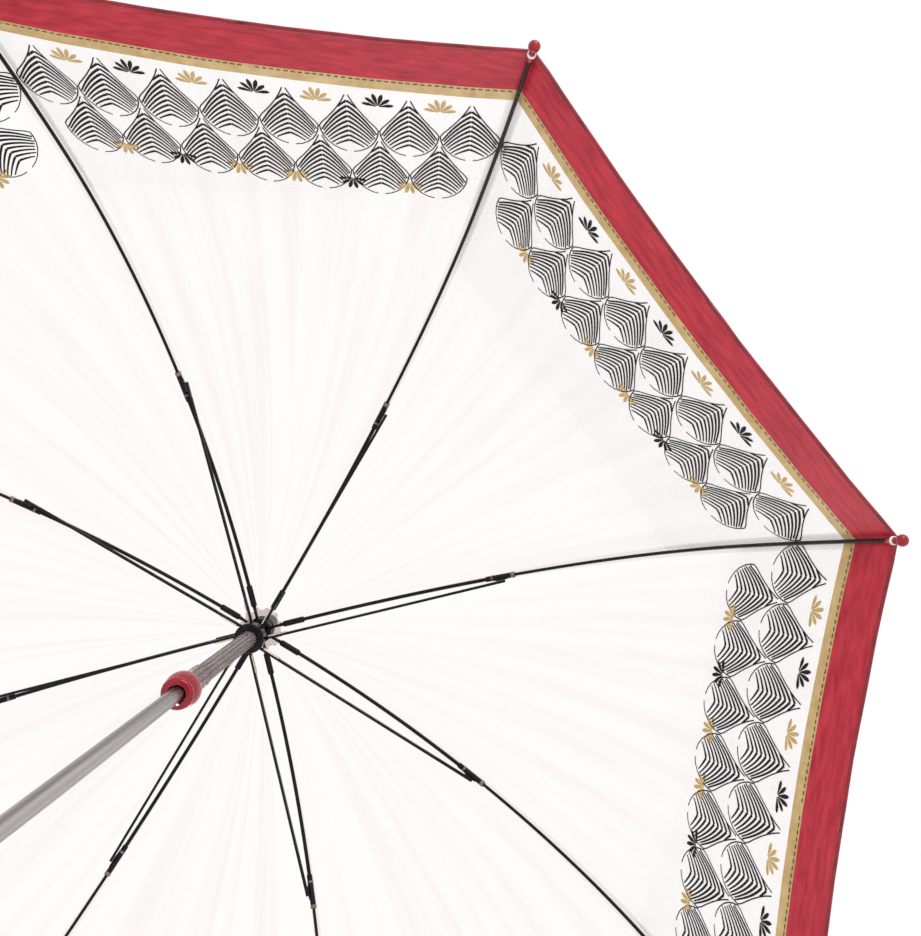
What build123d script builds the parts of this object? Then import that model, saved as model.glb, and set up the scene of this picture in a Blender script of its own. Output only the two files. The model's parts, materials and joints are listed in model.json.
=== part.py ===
from build123d import *
import os
from math import cos, sin, radians, degrees, asin, atan2, hypot, sqrt

os.makedirs("parts", exist_ok=True)

# ---------------- driving dimensions (mm) ----------------
N_RIBS = 8
Z_CROWN = 780.0          # height of the rib pivots above the grip
SHAFT_R = 5.0            # steel shaft tube, outside
SHAFT_WALL = 0.8
SHAFT_TOP = Z_CROWN + 22.0
SHAFT_BOTTOM = 20.0
PIVOT_R = 7.6            # rib wire ring radius in the crown
ARC1 = (390.4, 32.3)     # rib arcs: radius, turn in degrees
ARC2 = (429.0, 31.6)
ARC3 = (1066.0, 8.4)
START_RISE = 2.3         # rib leaves the crown rising by this many degrees
ROD_R = 1.3              # outer rod
ROOT_ROD_R = 1.6         # inner rod
STRETCH_Y = 3.9          # stretcher plane, offset to one side of the rib plane
RUN_PIVOT_X = 9.4        # stretcher wire ring pivot
RUN_PIVOT_Z = Z_CROWN - 39.0
STRETCH_LEN = 208.6
CANOPY_GAP = 3.2         # canopy's inside face above the rod's axis
CANOPY_T = 0.4
SLEEVE_R = 6.5
COLLAR_Z = Z_CROWN - 240.0
HANDLE_R = 10.0
CATCH_TOP_Z = COLLAR_Z - 23.9      # holds the runner up from below
CATCH_BOTTOM_Z = COLLAR_Z - 317.5  # drops into the sleeve's window when closed
HOOK_R = 36.0
TIP_R = 3.5


def radial(k, y=0.0, x=0.0, z=0.0):
    """Plane through rib k: x outward, y up, moved sideways by y."""
    a = radians(45.0 * k)
    return Plane(
        origin=(x * cos(a) - y * sin(a), x * sin(a) + y * cos(a), z),
        x_dir=(cos(a), sin(a), 0),
        z_dir=(sin(a), -cos(a), 0),
    )


def walk(start, heading, turns):
    """Ends of a chain of tangent arcs: heading in degrees above level, turning down."""
    pts = [(start[0], start[1], heading)]
    x, z, h = start[0], start[1], heading
    for r, t in turns:
        cx, cz = x + r * sin(radians(h)), z - r * cos(radians(h))
        h -= t
        x, z = cx - r * sin(radians(h)), cz + r * cos(radians(h))
        pts.append((x, z, h))
    return pts


A = (PIVOT_R, Z_CROWN)
P = walk(A, START_RISE, [ARC1, ARC2, ARC3])
J = P[1]
T = P[3]


def arc_from(p, r, t):
    """A tangent arc from a walked point, turning down by t degrees."""
    return JernArc(
        start=(p[0], p[1]),
        tangent=(cos(radians(p[2])), sin(radians(p[2]))),
        radius=r,
        arc_size=-t,
    )


def ahead(p, d):
    return (p[0] + d * cos(radians(p[2])), p[1] + d * sin(radians(p[2])))


# ---------------- shaft ----------------
with BuildPart() as shaft_tube:
    with BuildSketch(Plane.XY.offset(SHAFT_BOTTOM)):
        Circle(SHAFT_R)
        Circle(SHAFT_R - SHAFT_WALL, mode=Mode.SUBTRACT)
    extrude(amount=SHAFT_TOP - SHAFT_BOTTOM)
    # windows that let the two spring catches through the wall
    for zc in (CATCH_TOP_Z - 7.5, CATCH_BOTTOM_Z - 7.5):
        with BuildSketch(Plane.YZ.offset(-SHAFT_R - 2)):
            with Locations((0, zc)):
                Rectangle(3.0, 11.0)
        extrude(amount=SHAFT_R, mode=Mode.SUBTRACT)
shaft_tube.part.label = "shaft_tube"
export_step(shaft_tube.part, "parts/shaft_tube.step")

# ---------------- crown: slotted hub that holds the rib roots ----------------
with BuildPart() as crown_hub:
    with BuildSketch(Plane.XY.offset(Z_CROWN - 8.0)):
        Circle(11.0)
        Circle(SHAFT_R + 0.02, mode=Mode.SUBTRACT)
    extrude(amount=10.4)
    chamfer(crown_hub.edges().filter_by(GeomType.CIRCLE).group_by(Axis.Z)[0].sort_by(SortBy.RADIUS)[-1], 1.2)
    for k in range(N_RIBS):
        with BuildSketch(radial(k)):
            with Locations((9.25, Z_CROWN - 3.0)):
                Rectangle(7.5, 14.0)
        extrude(amount=1.6, both=True, mode=Mode.SUBTRACT)
    with BuildSketch(Plane.XZ):
        with Locations((PIVOT_R, Z_CROWN)):
            Circle(0.62)
    revolve(axis=Axis.Z, mode=Mode.SUBTRACT)
crown_hub.part.label = "crown_hub"
export_step(crown_hub.part, "parts/crown_hub.step")

with BuildPart() as crown_wire:
    with BuildSketch(Plane.XZ):
        with Locations((PIVOT_R, Z_CROWN)):
            Circle(0.6)
    revolve(axis=Axis.Z)
crown_wire.part.label = "crown_wire"
export_step(crown_wire.part, "parts/crown_wire.step")

# ---------------- top: rosette washer, ferrule cap ----------------
TOP_Z = Z_CROWN + 5.0
with BuildPart() as top_rosette:
    with BuildSketch(Plane.XY.offset(TOP_Z)):
        Circle(17.0)
        with PolarLocations(17.0, 12):
            Circle(2.4)
        Circle(SHAFT_R + 0.02, mode=Mode.SUBTRACT)
    extrude(amount=1.4)
top_rosette.part.label = "top_rosette"
export_step(top_rosette.part, "parts/top_rosette.step")

with BuildPart() as ferrule:
    with BuildSketch(Plane.XZ):
        with BuildLine():
            Polyline(
                (SHAFT_R + 0.02, TOP_Z + 1.4), (11.0, TOP_Z + 1.4), (11.0, TOP_Z + 4.0),
                (8.0, TOP_Z + 7.0), (7.0, TOP_Z + 9.0), (7.0, TOP_Z + 39.0),
                (5.4, TOP_Z + 44.0), (0, TOP_Z + 45.0), (0, SHAFT_TOP + 0.2),
                (SHAFT_R + 0.02, SHAFT_TOP + 0.2), close=True,
            )
        make_face()
    revolve(axis=Axis.Z)
ferrule.part.label = "ferrule"
export_step(ferrule.part, "parts/ferrule.step")

# ---------------- runner: crown with its hinge pins, sleeve, collar ----------------
with BuildPart() as runner_crown:
    with BuildSketch(Plane.XY.offset(RUN_PIVOT_Z - 9.0)):
        Circle(12.6)
        Circle(SHAFT_R + 0.08, mode=Mode.SUBTRACT)
    extrude(amount=12.4)
    chamfer(runner_crown.edges().filter_by(GeomType.CIRCLE).group_by(Axis.Z)[0].sort_by(SortBy.RADIUS)[-1], 1.0)
    for k in range(N_RIBS):
        with BuildSketch(radial(k, STRETCH_Y)):
            with Locations((RUN_PIVOT_X + 2.9, RUN_PIVOT_Z + 1.5)):
                Rectangle(10.6, 9.4)
        extrude(amount=1.5, both=True, mode=Mode.SUBTRACT)
        # the stretcher's hinge pin, one across each slot
        with BuildSketch(radial(k, STRETCH_Y)):
            with Locations((RUN_PIVOT_X, RUN_PIVOT_Z)):
                Circle(0.6)
        extrude(amount=1.8, both=True)
runner_crown.part.label = "runner_crown"
export_step(runner_crown.part, "parts/runner_crown.step")

with BuildPart() as runner_sleeve:
    with BuildSketch(Plane.XY.offset(COLLAR_Z)):
        Circle(SLEEVE_R)
        with PolarLocations(SLEEVE_R, 12):
            Circle(0.45)
        Circle(SHAFT_R + 0.5, mode=Mode.SUBTRACT)
    extrude(amount=RUN_PIVOT_Z - 9.0 - COLLAR_Z)
    with BuildSketch(Plane.XY.offset(COLLAR_Z)):
        Circle(8.2)
        Circle(SHAFT_R + 0.5, mode=Mode.SUBTRACT)
    extrude(amount=34.0)
    # window that the lower catch drops into when the umbrella is closed
    with BuildSketch(Plane.YZ.offset(-10.0)):
        with Locations((0, COLLAR_Z + 18.0)):
            Rectangle(3.6, 14.0)
    extrude(amount=6.0, mode=Mode.SUBTRACT)
runner_sleeve.part.label = "runner_sleeve"
export_step(runner_sleeve.part, "parts/runner_sleeve.step")

with BuildPart() as runner_collar:
    with BuildSketch(Plane.XZ):
        with BuildLine():
            l1 = Polyline((6.0, COLLAR_Z), (7.0, COLLAR_Z), (9.6, COLLAR_Z - 1.6))
            l2 = ThreePointArc(l1 @ 1, (12.3, COLLAR_Z - 11.0), (10.4, COLLAR_Z - 20.0))
            l3 = Polyline(l2 @ 1, (9.6, COLLAR_Z - 21.4), (10.5, COLLAR_Z - 23.0))
            l4 = ThreePointArc(l3 @ 1, (10.9, COLLAR_Z - 25.4), (9.4, COLLAR_Z - 27.4))
            Polyline(l4 @ 1, (6.4, COLLAR_Z - 27.4), (6.0, COLLAR_Z - 26.8), (6.0, COLLAR_Z))
        make_face()
    revolve(axis=Axis.Z)
runner_collar.part.label = "runner_collar"
export_step(runner_collar.part, "parts/runner_collar.step")

# ---------------- spring catches: bent strips in the shaft's windows ----------------
# Each is a lever hinged at its top end on a cross pin, with a nose that stands out of the shaft.
def catch(name, zc, high, low):
    with BuildPart() as c:
        with BuildSketch(Plane.XZ):
            with BuildLine():
                Polyline(
                    (-3.6, zc + 15.0), (-3.6, zc - 12.0), (-3.9, zc - 14.0), (-3.0, zc - 15.0),
                    (-2.6, zc - 12.0), (-2.6, zc + 15.0), close=True,
                )
            make_face()
            with BuildLine():
                Polyline(
                    (-3.6, zc - 4.0), (-7.0, zc - high), (-7.0, zc - low), (-3.6, zc - 11.0), close=True,
                )
            make_face()
            with Locations((-2.6, zc + 15.6)):
                Circle(1.1)
        extrude(amount=1.0, both=True)
        with BuildSketch(Plane.XZ):
            with Locations((-2.6, zc + 15.6)):
                Circle(0.55)
        extrude(amount=1.2, both=True, mode=Mode.SUBTRACT)
    c.part.label = name
    export_step(c.part, "parts/" + name + ".step")
    return c


top_catch = catch("top_catch", CATCH_TOP_Z, 4.4, 5.4)
bottom_catch = catch("bottom_catch", CATCH_BOTTOM_Z, 9.6, 10.6)

# ---------------- handle: straight grip, crook, collar ----------------
with BuildPart() as handle_crook:
    with BuildLine() as path:
        h1 = Line((0, 0, 56.0), (0, 0, -44.0))
        h2 = ThreePointArc((0, 0, -44.0), (HOOK_R, 0, -44.0 - HOOK_R), (2 * HOOK_R, 0, -44.0))
        h3 = Line((2 * HOOK_R, 0, -44.0), (2 * HOOK_R, 0, -24.0))
    with BuildSketch(Plane(origin=(0, 0, 56.0), z_dir=(0, 0, -1))):
        Circle(HANDLE_R)
    sweep()
    fillet(handle_crook.edges().filter_by(GeomType.CIRCLE).sort_by(Axis.X)[-1], 4.0)
    with BuildSketch(Plane.XY.offset(SHAFT_BOTTOM)):
        Circle(SHAFT_R + 0.02)
    extrude(amount=60.0, mode=Mode.SUBTRACT)
handle_crook.part.label = "handle_crook"
export_step(handle_crook.part, "parts/handle_crook.step")

with BuildPart() as handle_collar:
    with BuildSketch(Plane.XZ):
        with BuildLine():
            Polyline(
                (SHAFT_R + 0.02, 56.0), (9.6, 56.0), (9.6, 61.0), (8.0, 66.0), (6.4, 68.0),
                (SHAFT_R + 0.02, 68.0), close=True,
            )
        make_face()
    revolve(axis=Axis.Z)
handle_collar.part.label = "handle_collar"
export_step(handle_collar.part, "parts/handle_collar.step")

# ---------------- the eight ribs, stretchers and canopy panels ----------------
R0 = walk(A, START_RISE, [(ARC1[0], 1.6)])[1]          # end of the root eye's neck
J_IN = walk(A, START_RISE, [(ARC1[0], ARC1[1] - 2.2)])[1]   # inner rod ends here
J_OUT = walk(J[:2], J[2], [(ARC2[0], 1.4)])[1]         # outer rod starts here
TIP_IN = walk(P[2][:2], P[2][2], [(ARC3[0], ARC3[1] - 0.6)])[1]
SB = (RUN_PIVOT_X, RUN_PIVOT_Z)
S_ANG = degrees(atan2((J[1]) - SB[1], J[0] - SB[0]))
S_LEN = hypot(J[0] - SB[0], J[1] - SB[1])

for k in range(N_RIBS):
    n = str(k + 1)
    up = START_RISE
    # inner and outer rods with the root eye
    with BuildPart() as rib:
        with BuildSketch(radial(k)):
            with Locations(A):
                Circle(1.9)
            with BuildLine():
                Polyline(
                    (A[0], A[1] - 1.2), (R0[0], R0[1] - 1.2), (R0[0], R0[1] + 1.2), (A[0], A[1] + 1.2), close=True
                )
            make_face()
            with Locations(A):
                Circle(0.68, mode=Mode.SUBTRACT)
        extrude(amount=1.1, both=True)
        with BuildLine(radial(k)) as inner:
            arc_from(R0, ARC1[0], ARC1[1] - 1.6 - 2.2)
        with BuildSketch(Plane(origin=inner.line @ 0, z_dir=inner.line % 0)):
            Circle(ROOT_ROD_R)
        sweep(path=inner.line)
    rib.part.label = "rib_inner_" + n
    export_step(rib.part, "parts/rib_inner_" + n + ".step")

    with BuildPart() as rod:
        with BuildLine(radial(k)) as outer:
            o1 = arc_from(J_OUT, ARC2[0], ARC2[1] - 1.4)
            o2 = arc_from(P[2], ARC3[0], ARC3[1] - 0.6)
        with BuildSketch(Plane(origin=outer.line @ 0, z_dir=outer.line % 0)):
            Circle(ROD_R)
        sweep(path=outer.line)
    rod.part.label = "rib_outer_" + n
    export_step(rod.part, "parts/rib_outer_" + n + ".step")

    # joint fitting: ferrule over both rod ends and a flat ear for the stretcher's rivet
    d_in = (cos(radians(J_IN[2])), sin(radians(J_IN[2])))
    a3 = radians(45.0 * k)
    jx = Vector(cos(a3) * cos(radians(J[2])), sin(a3) * cos(radians(J[2])), sin(radians(J[2])))
    j0 = Vector(J_IN[0] * cos(a3), J_IN[0] * sin(a3), J_IN[1])
    j1 = Vector(J_OUT[0] * cos(a3), J_OUT[0] * sin(a3), J_OUT[1])
    with BuildPart() as joint:
        with BuildSketch(Plane(origin=j0 + (j1 - j0).normalized() * 0.2, z_dir=(j1 - j0))):
            Circle(2.3)
        extrude(amount=(j1 - j0).length - 0.4)
        with BuildSketch(radial(k, 1.7)):
            with BuildLine():
                Polyline(
                    (J[0] - 7.0, J[1] + 4.6), (J[0] - 5.0, J[1] - 2.6), (J[0] + 3.4, J[1] - 4.6),
                    (J[0] + 5.4, J[1] - 1.6), close=True,
                )
            make_face()
        extrude(amount=0.7, both=True)
        with BuildSketch(radial(k, 1.7)):
            with Locations((J[0], J[1])):
                Circle(2.6)
        extrude(amount=0.7, both=True)
    joint.part.label = "rib_joint_" + n
    export_step(joint.part, "parts/rib_joint_" + n + ".step")

    # ball tip with a neck and a sleeve on the rod's end
    tx = Vector(cos(a3) * cos(radians(TIP_IN[2])), sin(a3) * cos(radians(TIP_IN[2])), sin(radians(TIP_IN[2])))
    t0 = Vector(TIP_IN[0] * cos(a3), TIP_IN[0] * sin(a3), TIP_IN[1])
    with BuildPart() as tip:
        with BuildSketch(Plane(origin=t0, x_dir=(-sin(a3), cos(a3), 0), z_dir=Vector(-sin(a3), cos(a3), 0).cross(tx))):
            with BuildLine():
                Polyline((0, 0.1), (1.7, 0.1), (2.0, 7.4), (1.5, 8.6), (1.5, 10.6), (0, 10.6), close=True)
            make_face()
        revolve(axis=Axis(t0, tx))
        with Locations(Location(t0 + tx * 12.6)):
            Sphere(TIP_R)
    tip.part.label = "rib_tip_" + n
    export_step(tip.part, "parts/rib_tip_" + n + ".step")

    # stretcher: channel strut from the runner to the joint, beside the rib
    with BuildPart() as stretcher:
        c, s = cos(radians(S_ANG)), sin(radians(S_ANG))

        def at(u, v):
            return (SB[0] + u * c - v * s, SB[1] + u * s + v * c)

        with BuildSketch(radial(k, STRETCH_Y)):
            with BuildLine():
                Polyline(at(0, -1.2), at(20, -1.7), at(S_LEN, -1.7), at(S_LEN, 1.7), at(20, 1.7), at(0, 1.2), close=True)
            make_face()
            with Locations(at(0, 0), at(S_LEN, 0)):
                Circle(2.0)
            with Locations(at(0, 0)):
                Circle(0.68, mode=Mode.SUBTRACT)
        extrude(amount=1.0, both=True)
        with BuildSketch(radial(k, STRETCH_Y + 0.55)):
            with BuildLine():
                Polyline(at(26, -1.1), at(S_LEN - 12, -1.1), at(S_LEN - 12, 1.1), at(26, 1.1), close=True)
            make_face()
        extrude(amount=1.0, both=True, mode=Mode.SUBTRACT)
        with BuildSketch(radial(k, STRETCH_Y)):
            with BuildLine():
                Polyline(at(5.5, -0.6), at(17, -0.7), at(17, 0.7), at(5.5, 0.6), close=True)
            make_face()
        extrude(amount=2.0, both=True, mode=Mode.SUBTRACT)
    stretcher.part.label = "stretcher_" + n
    export_step(stretcher.part, "parts/stretcher_" + n + ".step")

    # canopy panel: the clear sheet either side of this rib, out to the fold lines
    with BuildPart() as panel:
        with BuildSketch(radial(k)):
            with BuildLine():
                g = CANOPY_GAP
                S = (A[0] - g * sin(radians(START_RISE)), A[1] + g * cos(radians(START_RISE)))
                Q = walk(S, START_RISE, [(ARC1[0] + g, ARC1[1]), (ARC2[0] + g, ARC2[1]), (ARC3[0] + g, ARC3[1] - 0.2)])
                h = g + CANOPY_T
                S2 = (A[0] - h * sin(radians(START_RISE)), A[1] + h * cos(radians(START_RISE)))
                V = walk(S2, START_RISE, [(ARC1[0] + h, ARC1[1]), (ARC2[0] + h, ARC2[1]), (ARC3[0] + h, ARC3[1] - 0.2)])
                arc_from(Q[0], ARC1[0] + g, ARC1[1])
                arc_from(Q[1], ARC2[0] + g, ARC2[1])
                arc_from(Q[2], ARC3[0] + g, ARC3[1] - 0.2)
                Line((Q[3][0], Q[3][1]), (V[3][0], V[3][1]))
                arc_from(V[0], ARC1[0] + h, ARC1[1])
                arc_from(V[1], ARC2[0] + h, ARC2[1])
                arc_from(V[2], ARC3[0] + h, ARC3[1] - 0.2)
                Line((V[0][0], V[0][1]), (Q[0][0], Q[0][1]))
            make_face()
        revolve(axis=Axis.Z, revolution_arc=44.6)
    # centre the panel on its rib: the arc is swept one way, so it is turned back by half
    half = panel.part.rotate(Axis.Z, -22.3)
    c0 = half.center()
    az = degrees(atan2(c0.Y, c0.X)) - 45.0 * k
    az = (az + 180) % 360 - 180
    if abs(az) > 5:
        half = panel.part.rotate(Axis.Z, 22.3)
    half.label = "canopy_panel_" + n
    export_step(half, "parts/canopy_panel_" + n + ".step")

print("J", [round(v, 2) for v in J], "T", [round(v, 2) for v in T], "P2", [round(v, 2) for v in P[2]])
print("stretcher", round(S_LEN, 2), round(S_ANG, 3))
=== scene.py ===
import bpy, json, math, random
from mathutils import Vector, Matrix, noise

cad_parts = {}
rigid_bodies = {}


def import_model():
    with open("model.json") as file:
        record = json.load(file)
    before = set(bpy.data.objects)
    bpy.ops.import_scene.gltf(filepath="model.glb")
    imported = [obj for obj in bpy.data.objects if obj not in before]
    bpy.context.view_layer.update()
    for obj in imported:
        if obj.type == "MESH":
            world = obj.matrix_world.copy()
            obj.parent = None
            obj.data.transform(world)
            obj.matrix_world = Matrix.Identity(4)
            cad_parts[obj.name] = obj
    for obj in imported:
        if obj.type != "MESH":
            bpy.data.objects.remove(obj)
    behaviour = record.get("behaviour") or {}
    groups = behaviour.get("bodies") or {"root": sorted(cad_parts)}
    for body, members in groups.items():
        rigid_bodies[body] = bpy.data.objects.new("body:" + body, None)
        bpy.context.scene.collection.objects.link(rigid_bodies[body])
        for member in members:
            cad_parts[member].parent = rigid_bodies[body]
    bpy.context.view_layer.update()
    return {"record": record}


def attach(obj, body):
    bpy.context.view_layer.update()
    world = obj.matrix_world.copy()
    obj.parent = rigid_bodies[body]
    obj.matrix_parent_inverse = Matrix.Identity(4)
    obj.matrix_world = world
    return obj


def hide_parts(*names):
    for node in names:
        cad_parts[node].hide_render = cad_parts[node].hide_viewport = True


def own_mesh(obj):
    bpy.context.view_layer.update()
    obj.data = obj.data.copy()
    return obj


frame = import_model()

random.seed(7)
N = 8
ZC = 0.780
A = (0.0076, ZC)
START = 2.3
ARCS = [(0.3904, 32.3), (0.429, 31.6), (1.066, 8.4)]
C22, S22 = math.cos(math.radians(22.5)), math.sin(math.radians(22.5))


# ---------------------------------------------------------------- camera
look = Vector((-0.00970, -0.03581, 0.99931)).normalized()
right = Vector((-0.24415, 0.96920, 0.03236))
right = (right - look * right.dot(look)).normalized()
up = right.cross(look)
cd = bpy.data.cameras.new("camera")
cd.sensor_width = 36.0
cd.lens = 1167.0 / 936.0 * 36.0
cd.clip_start, cd.clip_end = 0.01, 50
cam = bpy.data.objects.new("camera", cd)
bpy.context.scene.collection.objects.link(cam)
m = Matrix((right, up, -look)).transposed().to_4x4()
m.translation = Vector((0.10485, 0.24180, -0.23558))
cam.matrix_world = m
bpy.context.scene.camera = cam


# ---------------------------------------------------------------- profile along a rib, at an offset from the rod's axis
def profile(s, g=0.0):
    """Radius, height and outward normal (r, z) at arc length s from the crown, g outside the rod's axis."""
    x, z, h = A[0], A[1], START
    for i, (R, t) in enumerate(ARCS):
        L = R * math.radians(t)
        cx, cz = x + R * math.sin(math.radians(h)), z - R * math.cos(math.radians(h))
        if s <= L or i == len(ARCS) - 1:
            a = h - math.degrees(s / R)
            nr, nz = -math.sin(math.radians(a)), math.cos(math.radians(a))
            return cx + (R + g) * nr, cz + (R + g) * nz, nr, nz
        s -= L
        h -= t
        x, z = cx - R * math.sin(math.radians(h)), cz + R * math.cos(math.radians(h))


S_RIB = sum(R * math.radians(t) for R, t in ARCS)
S_HEM = S_RIB - 0.006
BOW = 0.010
GAP = 0.0034


def axes(k, half):
    """Mid direction and sideways direction of the gore that starts at rib k (half 0) or ends there (half 1)."""
    a = math.radians(45.0 * k + (22.5 if half == 0 else -22.5))
    return Vector((math.cos(a), math.sin(a), 0)), Vector((-math.sin(a), math.cos(a), 0))


def ripple(p):
    n = noise.noise(p * 14.0) * 0.9 + noise.noise(p * 37.0) * 0.35
    return n * 0.0011


def gore_point(k, half, u, v, lift=0.0):
    """Point of a gore: u sideways from its mid line, v from the hem towards the crown, in metres."""
    em, et = axes(k, half)
    s = S_HEM - v
    for _ in range(2):
        r, z, nr, nz = profile(max(s, 0.0), GAP)
        hc = max(r * S22, 1e-4)
        s = S_HEM - BOW * (1 - min(1.0, abs(u) / hc) ** 2) - v
    r, z, nr, nz = profile(max(s, 0.0), GAP)
    p = em * (r * C22) + et * u + Vector((0, 0, z))
    n = em * nr + Vector((0, 0, nz))
    edge = min(1.0, max(0.0, (1 - abs(u) / hc) * 4))       # no ripple where the sheet lies on the rib
    return p + n * (lift - abs(ripple(p)) * edge), n


def mesh_obj(name, verts, faces, mats, idx=None, smooth=True):
    me = bpy.data.meshes.new(name)
    me.from_pydata([tuple(v) for v in verts], [], faces)
    for mt in mats:
        me.materials.append(mt)
    if idx:
        for f, i in zip(me.polygons, idx):
            f.material_index = i
    for f in me.polygons:
        f.use_smooth = smooth
    me.validate()
    me.update()
    o = bpy.data.objects.new(name, me)
    bpy.context.scene.collection.objects.link(o)
    return o


# ---------------------------------------------------------------- materials
def new_mat(name):
    mt = bpy.data.materials.new(name)
    mt.use_nodes = True
    nt = mt.node_tree
    b = nt.nodes["Principled BSDF"]
    return mt, nt, b


def noise_node(nt, scale, detail=3.0, stretch=None):
    tc = nt.nodes.new("ShaderNodeTexCoord")
    nz = nt.nodes.new("ShaderNodeTexNoise")
    nz.inputs["Scale"].default_value = scale
    nz.inputs["Detail"].default_value = detail
    if stretch:
        mp = nt.nodes.new("ShaderNodeMapping")
        mp.inputs["Scale"].default_value = stretch
        nt.links.new(tc.outputs["Object"], mp.inputs["Vector"])
        nt.links.new(mp.outputs["Vector"], nz.inputs["Vector"])
    else:
        nt.links.new(tc.outputs["Object"], nz.inputs["Vector"])
    return nz


def ramp(nt, src, c0, c1, p0=0.3, p1=0.7):
    r = nt.nodes.new("ShaderNodeValToRGB")
    r.color_ramp.elements[0].position, r.color_ramp.elements[1].position = p0, p1
    r.color_ramp.elements[0].color = (*c0, 1)
    r.color_ramp.elements[1].color = (*c1, 1)
    nt.links.new(src, r.inputs["Fac"])
    return r.outputs["Color"]


def bump(nt, b, src, strength, dist):
    bp = nt.nodes.new("ShaderNodeBump")
    bp.inputs["Strength"].default_value = strength
    bp.inputs["Distance"].default_value = dist
    nt.links.new(src, bp.inputs["Height"])
    nt.links.new(bp.outputs["Normal"], b.inputs["Normal"])


def solid(name, c0, c1, rough=(0.3, 0.4), scale=120.0, metal=0.0, bumpy=0.15, dist=0.0002, coat=0.0, stretch=None, detail=3.0, spec=0.35):
    mt, nt, b = new_mat(name)
    n = noise_node(nt, scale, detail, stretch)
    nt.links.new(ramp(nt, n.outputs["Fac"], c0, c1), b.inputs["Base Color"])
    mr = nt.nodes.new("ShaderNodeMapRange")
    mr.inputs["To Min"].default_value, mr.inputs["To Max"].default_value = rough
    nt.links.new(n.outputs["Fac"], mr.inputs["Value"])
    nt.links.new(mr.outputs["Result"], b.inputs["Roughness"])
    b.inputs["Metallic"].default_value = metal
    b.inputs["Coat Weight"].default_value = coat
    b.inputs["Specular IOR Level"].default_value = spec
    bump(nt, b, n.outputs["Fac"], bumpy, dist)
    return mt


def clear_mat(name, tint, fac0, fac1, rough, scale=9.0, body=(0.9, 0.88, 0.88), reflection_streak_tint=None):
    """Clear flexible sheet: mostly see-through, with a glossy film that grows at glancing angles and a faint haze."""
    mt, nt, b = new_mat(name)
    out = nt.nodes["Material Output"]
    tr = nt.nodes.new("ShaderNodeBsdfTransparent")
    tr.inputs["Color"].default_value = (*tint, 1)
    b.inputs["Base Color"].default_value = (*body, 1)
    b.inputs["Roughness"].default_value = rough
    lw = nt.nodes.new("ShaderNodeLayerWeight")
    lw.inputs["Blend"].default_value = 0.22
    n = noise_node(nt, scale, 4.0, (1.0, 1.0, 0.35))
    mul = nt.nodes.new("ShaderNodeMath"); mul.operation = "MULTIPLY"
    nt.links.new(lw.outputs["Fresnel"], mul.inputs[0])
    mr = nt.nodes.new("ShaderNodeMapRange")
    mr.inputs["To Min"].default_value, mr.inputs["To Max"].default_value = 0.55, 1.25
    nt.links.new(n.outputs["Fac"], mr.inputs["Value"])
    nt.links.new(mr.outputs["Result"], mul.inputs[1])
    mr2 = nt.nodes.new("ShaderNodeMapRange")
    mr2.inputs["To Min"].default_value, mr2.inputs["To Max"].default_value = fac0, fac1
    nt.links.new(mul.outputs[0], mr2.inputs["Value"])
    bump(nt, b, n.outputs["Fac"], 0.35, 0.002)
    if reflection_streak_tint:
        # painted reflection streaks: fine bands painted into the sheet's see-through tint, running out from the crown:
        # noise taken over the angle, hardly over the radius
        tc = nt.nodes.new("ShaderNodeTexCoord")
        sx = nt.nodes.new("ShaderNodeSeparateXYZ")
        nt.links.new(tc.outputs["Object"], sx.inputs["Vector"])
        at = nt.nodes.new("ShaderNodeMath"); at.operation = "ARCTAN2"
        nt.links.new(sx.outputs["Y"], at.inputs[0]); nt.links.new(sx.outputs["X"], at.inputs[1])
        ml = nt.nodes.new("ShaderNodeMath"); ml.operation = "MULTIPLY"; ml.inputs[1].default_value = 14.0
        nt.links.new(at.outputs[0], ml.inputs[0])
        zz = nt.nodes.new("ShaderNodeMath"); zz.operation = "MULTIPLY"; zz.inputs[1].default_value = 3.0
        nt.links.new(sx.outputs["Z"], zz.inputs[0])
        cx = nt.nodes.new("ShaderNodeCombineXYZ")
        nt.links.new(ml.outputs[0], cx.inputs["X"]); nt.links.new(zz.outputs[0], cx.inputs["Y"])
        n2 = nt.nodes.new("ShaderNodeTexNoise")
        n2.inputs["Scale"].default_value = 1.6
        n2.inputs["Detail"].default_value = 6.0
        nt.links.new(cx.outputs["Vector"], n2.inputs["Vector"])
        nt.links.new(ramp(nt, n2.outputs["Fac"], reflection_streak_tint, tint, 0.36, 0.56), tr.inputs["Color"])
    mx = nt.nodes.new("ShaderNodeMixShader")
    nt.links.new(mr2.outputs["Result"], mx.inputs["Fac"])
    nt.links.new(tr.outputs["BSDF"], mx.inputs[1])
    nt.links.new(b.outputs["BSDF"], mx.inputs[2])
    nt.links.new(mx.outputs["Shader"], out.inputs["Surface"])
    return mt


M = {}
M["shaft"] = solid("shaft_steel", (0.012, 0.010, 0.010), (0.46, 0.43, 0.42), (0.18, 0.36), 190.0, 0.85, 0.10, 0.0001, stretch=(1, 1, 0.008), detail=4.0)
M["black"] = solid("black_moulding", (0.004, 0.003, 0.0035), (0.014, 0.011, 0.012), (0.26, 0.42), 420.0, 0.0, 0.22, 0.0002, 0.0, spec=0.16)
M["black_steel"] = solid("black_lacquered_steel", (0.004, 0.003, 0.0035), (0.013, 0.010, 0.011), (0.20, 0.34), 260.0, 0.0, 0.14, 0.0001, 0.0, spec=0.16)
M["wire"] = solid("spring_wire", (0.45, 0.42, 0.38), (0.68, 0.65, 0.60), (0.22, 0.38), 300.0, 1.0, 0.1, 0.0001)
M["red"] = solid("red_moulding", (0.22, 0.002, 0.010), (0.38, 0.008, 0.026), (0.14, 0.28), 620.0, 0.0, 0.35, 0.0003, 0.10, spec=0.4)
M["brass"] = solid("eyelet_metal", (0.50, 0.43, 0.33), (0.78, 0.72, 0.60), (0.20, 0.34), 240.0, 1.0, 0.12, 0.0001)
M["clip"] = solid("clip_metal", (0.16, 0.11, 0.09), (0.30, 0.22, 0.18), (0.3, 0.45), 240.0, 0.7, 0.15, 0.0001)
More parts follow.
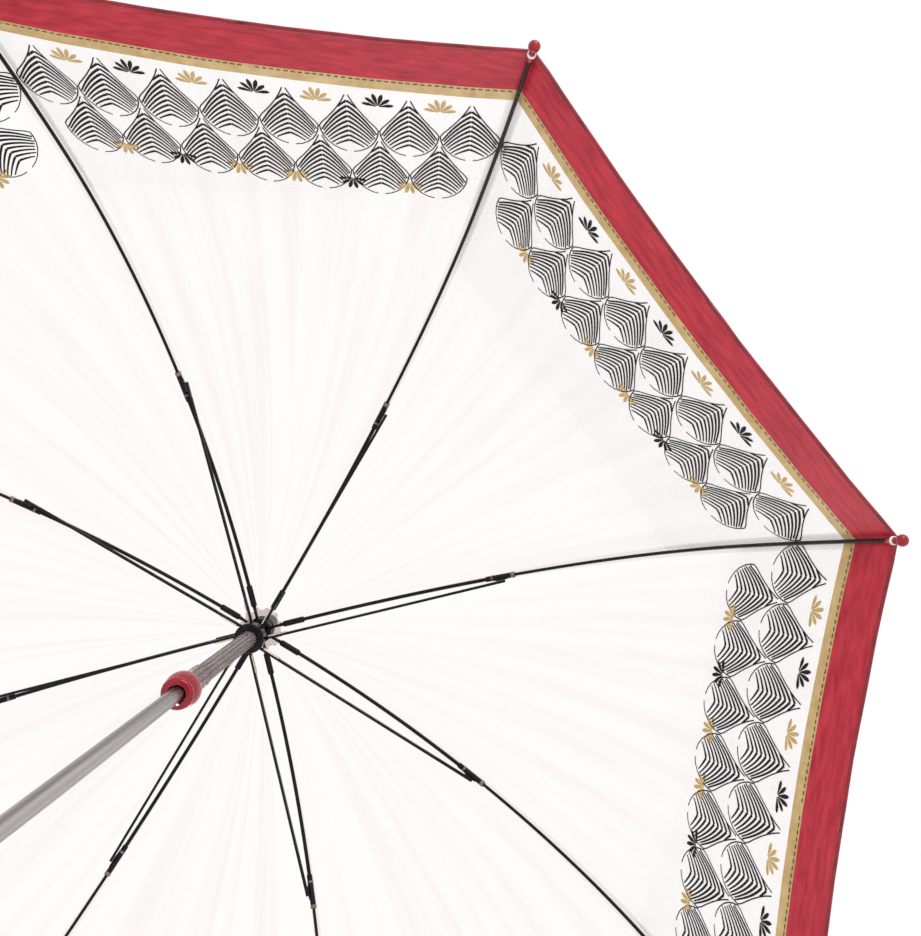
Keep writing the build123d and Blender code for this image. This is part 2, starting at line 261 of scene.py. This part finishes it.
M["clear_plastic"] = clear_mat("clear_moulding", (0.84, 0.78, 0.78), 0.10, 0.85, 0.16, 40.0, (0.80, 0.74, 0.74))
# the canopy sheet's see-through tint carries painted reflection streaks in radial bands
M["canopy"] = clear_mat("clear_canopy_sheet", (0.996, 0.984, 0.978), 0.006, 0.42, 0.14, 7.0, (0.97, 0.95, 0.95), reflection_streak_tint=(0.968, 0.925, 0.915))
M["seam"] = clear_mat("welded_seam", (0.93, 0.895, 0.885), 0.12, 0.75, 0.22, 60.0)
M["border"] = solid("red_border_sheet", (0.370, 0.008, 0.023), (0.590, 0.034, 0.060), (0.32, 0.50), 60.0, 0.0, 0.45, 0.0010, 0.0, detail=10.0, spec=0.20, stretch=(1.0, 1.0, 4.0))
M["hem"] = solid("hem_fold", (0.14, 0.001, 0.006), (0.34, 0.006, 0.022), (0.28, 0.48), 90.0, 0.0, 0.35, 0.0006, 0.25)
M["gold"] = solid("gold_band", (0.50, 0.335, 0.115), (0.66, 0.475, 0.215), (0.34, 0.50), 120.0, 0.0, 0.25, 0.0004, 0.2)
M["ink"] = solid("dark_print", (0.012, 0.008, 0.010), (0.024, 0.016, 0.020), (0.55, 0.7), 300.0, 0.0, 0.1, 0.0001, spec=0.1)
M["goldink"] = solid("gold_print", (0.50, 0.33, 0.10), (0.62, 0.44, 0.18), (0.4, 0.55), 300.0, 0.0, 0.1, 0.0001)
M["thread"] = solid("white_thread", (0.70, 0.68, 0.66), (0.88, 0.87, 0.85), (0.6, 0.8), 900.0, 0.0, 0.5, 0.0003)
M["floor"] = solid("pale_floor", (0.93, 0.93, 0.93), (0.96, 0.96, 0.96), (0.6, 0.75), 3.0, 0.0, 0.02, 0.001)

# clear sleeve whose see-through colour carries painted shade of its flutes
def sleeve_with_painted_flute_shade():
    mt = clear_mat("fluted_clear_sleeve", (0.70, 0.64, 0.63), 0.08, 0.75, 0.16, 40.0, (0.72, 0.66, 0.66))
    nt = mt.node_tree
    tr = [x for x in nt.nodes if x.type == "BSDF_TRANSPARENT"][0]
    tc = nt.nodes.new("ShaderNodeTexCoord")
    sx = nt.nodes.new("ShaderNodeSeparateXYZ")
    nt.links.new(tc.outputs["Object"], sx.inputs["Vector"])
    at = nt.nodes.new("ShaderNodeMath"); at.operation = "ARCTAN2"
    nt.links.new(sx.outputs["Y"], at.inputs[0]); nt.links.new(sx.outputs["X"], at.inputs[1])
    ml = nt.nodes.new("ShaderNodeMath"); ml.operation = "MULTIPLY"; ml.inputs[1].default_value = 12.0
    nt.links.new(at.outputs[0], ml.inputs[0])
    co = nt.nodes.new("ShaderNodeMath"); co.operation = "COSINE"
    nt.links.new(ml.outputs[0], co.inputs[0])
    # painted shade: twelve dark stripes round the sleeve, painted into its see-through colour in place of the flutes'
    # shading
    nt.links.new(ramp(nt, co.outputs[0], (0.74, 0.68, 0.67), (0.10, 0.075, 0.08), 0.25, 0.95), tr.inputs["Color"])
    return mt


M["sleeve"] = sleeve_with_painted_flute_shade()
slot_of = {p["node"]: p["material_slot"] for p in frame["record"]["subparts"]}
for o in list(bpy.data.objects):
    if o.type == "MESH" and o.name in slot_of and slot_of[o.name] in M:
        o.data.materials.clear()
        o.data.materials.append(M["sleeve"] if o.name == "runner_sleeve" else M[slot_of[o.name]])


# ---------------------------------------------------------------- canopy panels
RED, GOLD = 0.037, 0.047
V_ROWS = [0.0, 0.004, 0.012, 0.021, 0.030, RED, 0.042, GOLD]
vv = GOLD
while vv < S_HEM - 0.012:
    vv += 0.0125
    V_ROWS.append(min(vv, S_HEM - 0.004))
V_ROWS = sorted(set(round(x, 5) for x in V_ROWS))
FR = [0.0, 0.14, 0.28, 0.42, 0.56, 0.70, 0.82, 0.91, 0.965, 0.985, 1.0]   # share of the half gore from mid line to rib


def hc_at(v):
    return profile(max(S_HEM - v, 0.0), GAP)[0] * S22


panels, prints = {}, {}
for k in range(N):
    n = str(k + 1)
    verts, faces, idx = [], [], []
    cols = [(1, f) for f in FR] + [(0, f) for f in reversed(FR[:-1])]
    # half 1 is the gore that ends at this rib (u from 0 to +hc), half 0 the gore that starts here (u from -hc to 0)
    for v in V_ROWS:
        hc = hc_at(v)
        for half, f in cols:
            p, nn = gore_point(k, half, f * hc if half == 1 else -f * hc, v)
            verts.append(p)
    W = len(cols)
    for i in range(len(V_ROWS) - 1):
        vm = (V_ROWS[i] + V_ROWS[i + 1]) / 2
        for j in range(W - 1):
            faces.append((i * W + j, i * W + j + 1, (i + 1) * W + j + 1, (i + 1) * W + j))
            fm = (cols[j][1] + cols[j + 1][1]) / 2
            idx.append(1 if vm < RED else 2 if vm < GOLD else 3 if fm > 0.965 else 0)
    o = mesh_obj("canopy_sheet_" + n, verts, faces, [M["canopy"], M["border"], M["gold"], M["seam"]], idx)
    panels[k] = o


# ---------------------------------------------------------------- border print: rows of small ribbed scales and six-petal sprigs
class Ink:
    def __init__(self):
        self.v, self.f, self.i = [], [], []

    def ribbon(self, k, half, pts, widths, mat, lift=-0.0004):
        """A flat tapered line on the sheet through (u, v) points."""
        base = len(self.v)
        for a, (p, w) in enumerate(zip(pts, widths)):
            q0, q1 = pts[max(a - 1, 0)], pts[min(a + 1, len(pts) - 1)]
            dx, dy = q1[0] - q0[0], q1[1] - q0[1]
            L = math.hypot(dx, dy) or 1
            nx, ny = -dy / L * w / 2, dx / L * w / 2
            for sg in (1, -1):
                P, _ = gore_point(k, half, p[0] + sg * nx, p[1] + sg * ny, lift)
                self.v.append(P)
        for a in range(len(pts) - 1):
            b = base + 2 * a
            self.f.append((b, b + 1, b + 3, b + 2))
            self.i.append(mat)


PITCH, SH, SW = 0.0392, 0.060, 0.0192


def width_at(t):
    if t <= 0 or t >= 1:
        return 0.0
    if t < 0.60:
        return SW * (t / 0.60) ** 1.45
    return SW * math.sqrt(max(0.0, 1 - ((t - 0.60) / 0.40) ** 2))


def scale_motif(ink, k, half, u0, v0):
    """One fan-shaped scale: a pointed end to the rim, a round end to the crown, filled with nested curved ribs."""
    lines = 11
    for j in range(lines):
        t0 = 0.015 + 0.079 * j
        for sg in (1, -1):
            pts = []
            for q in range(17):
                du = SW * q / 16
                x = du / SW
                t = t0 + (0.30 * x + 0.26 * x * x) * (1.0 - 0.55 * j / lines)
                if q and (du > width_at(t) * 0.985 or t > 0.97):
                    break
                pts.append((u0 + sg * du, v0 + SH * t))
            if len(pts) > 2:
                keep = pts[::2] + ([pts[-1]] if len(pts) % 2 == 0 else [])
                m = len(keep)
                ink.ribbon(k, half, keep, [0.0021 - 0.0011 * a / (m - 1) for a in range(m)], 0)
    for sg in (1, -1):
        pts = [(u0 + sg * width_at(t), v0 + SH * t) for t in (0.08, 0.18, 0.28, 0.38, 0.48, 0.56, 0.62, 0.70, 0.78, 0.86, 0.93, 0.975, 0.997)]
        ink.ribbon(k, half, pts, [0.0009] * len(pts), 0)


def sprig(ink, k, half, u0, v0, mat, size=0.0115, way=-1):
    """A small half fan of six tapered petals, opening to the rim (way -1) or to the crown (way 1)."""
    for j in range(6):
        a = math.radians(-70 + 28 * j)
        pts = []
        for q in (0.10, 0.35, 0.62, 0.86, 1.0):
            L = size * q * (1.0 - 0.10 * abs(j - 2.5) / 2.5)
            pts.append((u0 + math.sin(a) * L * 1.05, v0 + way * (math.cos(a) * L * 1.15 - size * 0.15 * abs(math.sin(a)) * q * q)))
        ink.ribbon(k, half, pts, [0.0005, 0.0017, 0.0029, 0.0024, 0.0005], mat)


for k in range(N):
    n = str(k + 1)
    ink = Ink()
    for half, sg in ((0, -1), (1, 1)):
        # row by the band: four scales in each half gore
        for i in range(4):
            scale_motif(ink, k, half, sg * (i + 0.5) * PITCH, GOLD + 0.003)
        # second row: the middle scale belongs to the half that starts the gore
        for i in range(4):
            if i == 0 and half == 1:
                continue
            scale_motif(ink, k, half, sg * i * PITCH, GOLD + 0.0455)
        for i in range(4):
            if i == 0 and half == 1:
                continue
            sprig(ink, k, half, sg * i * PITCH, GOLD + 0.0165, 1 if i % 2 else 0)
        for i in range(3):
            sprig(ink, k, half, sg * (i + 0.5) * PITCH, GOLD + 0.0905, 0 if i % 2 else 1, 0.0110, 1)
        # stitching along the gold band, next to the red
        u = 0.004
        while u < hc_at(RED) - 0.004:
            ink.ribbon(k, half, [(sg * u, RED + 0.0016), (sg * (u + 0.0028), RED + 0.0016)], [0.0007, 0.0007], 0)
            u += 0.0044
    o = mesh_obj("border_print_" + n, ink.v, ink.f, [M["ink"], M["goldink"]], ink.i)
    prints[k] = o


# ---------------------------------------------------------------- tube helper
def tube(name, pts, rad, mat, sides=10, flat=1.0, closed=False, caps=True):
    """A tube through points; rad is a number or one per point."""
    V, F = [], []
    pts = [Vector(p) for p in pts]
    L = len(pts)
    ref = None
    for a, p in enumerate(pts):
        q0 = pts[(a - 1) % L] if closed else pts[max(a - 1, 0)]
        q1 = pts[(a + 1) % L] if closed else pts[min(a + 1, L - 1)]
        t = (q1 - q0).normalized()
        if ref is None:
            ref = t.orthogonal().normalized()
        ref = (ref - t * ref.dot(t)).normalized()
        b = t.cross(ref)
        r = rad[a] if hasattr(rad, "__len__") else rad
        for j in range(sides):
            an = 2 * math.pi * j / sides
            V.append(p + ref * (math.cos(an) * r * flat) + b * (math.sin(an) * r))
    rings = L if closed else L - 1
    for a in range(rings):
        for j in range(sides):
            c, d = a * sides, ((a + 1) % L) * sides
            F.append((c + j, c + (j + 1) % sides, d + (j + 1) % sides, d + j))
    if caps and not closed:
        F.append(tuple(reversed(range(sides))))
        F.append(tuple((L - 1) * sides + j for j in range(sides)))
    return mesh_obj(name, V, F, [mat])


# ---------------------------------------------------------------- hems, threads, root sleeves, clips, eyelets
extras = {}
for k in range(N):
    n = str(k + 1)
    er = Vector((math.cos(math.radians(45 * k)), math.sin(math.radians(45 * k)), 0))
    et = Vector((-er.y, er.x, 0))
    hc = hc_at(0.0)
    pts = [gore_point(k, 1, hc * f / 12, 0.0008)[0] for f in range(0, 12)] + [gore_point(k, 1, hc * 0.995, 0.0008)[0]]
    pts += [gore_point(k, 0, -hc * f / 12, 0.0008)[0] for f in range(11, -1, -1)]
    hem = tube("hem_fold_" + n, pts, 0.0013, M["hem"], 8)

    def rib_pt(s, g=0.0, y=0.0):
        r, z, nr, nz = profile(s, g)
        return er * r + et * y + Vector((0, 0, z))

    # tie thread: three loops round the tip's sleeve and up through the hem corner
    tp = []
    for a in range(61):
        an = 2 * math.pi * a / 15
        s = S_RIB - 0.0068 + 0.0018 * a / 60
        tp.append(rib_pt(s, 0.0022 * math.cos(an), 0.0022 * math.sin(an)))
    for a in range(1, 7):
        tp.append(rib_pt(S_RIB - 0.0068 - 0.0012 * a, 0.0022 + 0.0003 * a, 0.0006 * math.sin(a * 2.0)))
    th = tube("tie_thread_" + n, tp, 0.00035, M["thread"], 6)
    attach(th, "rib_" + n)

    # sleeve over the rib's inner end
    sl = tube("rib_root_sleeve_" + n, [rib_pt(0.0135 + 0.019 * a) for a in (0.0, 0.02, 0.07, 0.25, 0.5, 0.75, 0.93, 0.98, 1.0)],
              [0.0019, 0.0025, 0.00265, 0.00265, 0.00265, 0.00265, 0.00265, 0.0025, 0.0019], M["black"], 16)
    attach(sl, "rib_" + n)

    # clip: a bent strap round the rod beside the joint plate
    sj = ARCS[0][0] * math.radians(ARCS[0][1])
    for off, nm in ((-0.0105, "a"), (0.0092, "b")):
        cl = tube("joint_clip_%s_%s" % (nm, n), [rib_pt(sj + off + 0.0012 * a / 3 * 3) for a in range(4)], [0.0021, 0.0026, 0.0026, 0.0021], M["clip"], 16)
        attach(cl, "rib_" + n)

    # eyelet: bright rounded frame round the slot near the stretcher's root
    J = profile(sj)
    b0 = (0.0094, ZC - 0.039)
    ang = math.atan2(J[1] - b0[1], J[0] - b0[0])
    ep = []
    for a in range(28):
        an = 2 * math.pi * a / 28
        cu = 0.0130 + (0.0068 if math.cos(an) > 0 else -0.0068) + 0.0014 * math.cos(an)
        cv = 0.0014 * math.sin(an)
        r = b0[0] + cu * math.cos(ang) - cv * math.sin(ang)
        z = b0[1] + cu * math.sin(ang) + cv * math.cos(ang)
        ep.append(er * r + et * (0.0039 - 0.00135) + Vector((0, 0, z)))
    ey = tube("stretcher_eyelet_" + n, ep, 0.0006, M["brass"], 8, closed=True)
    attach(ey, "stretcher_" + n)

    for o in (panels[k], prints[k], hem):
        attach(o, "rib_" + n)
        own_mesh(o)
    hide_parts("canopy_panel_" + n)

# ---------------------------------------------------------------- stage, light
me = bpy.data.meshes.new("floor")
F = 40.0
me.from_pydata([(-F, -F, -0.34), (F, -F, -0.34), (F, F, -0.34), (-F, F, -0.34)], [], [(0, 1, 2, 3)])
me.materials.append(M["floor"])
floor = bpy.data.objects.new("floor", me)
bpy.context.scene.collection.objects.link(floor)

w = bpy.data.worlds.new("world")
bpy.context.scene.world = w
w.use_nodes = True
w.node_tree.nodes["Background"].inputs["Color"].default_value = (1, 1, 1, 1)
w.node_tree.nodes["Background"].inputs["Strength"].default_value = 1.0


def area_light(name, loc, aim, size, power):
    ld = bpy.data.lights.new(name, "AREA")
    ld.size = size
    ld.energy = power
    lo = bpy.data.objects.new(name, ld)
    bpy.context.scene.collection.objects.link(lo)
    lo.location = loc
    lo.rotation_mode = "QUATERNION"
    lo.rotation_quaternion = (Vector(aim) - Vector(loc)).to_track_quat("-Z", "Y")


area_light("key", (1.2, 1.0, 0.1), (0, 0, 0.7), 0.8, 9)
area_light("fill", (-1.3, -0.6, 1.9), (0, 0, 0.6), 1.0, 8)
bpy.context.scene.view_settings.view_transform = "Standard"
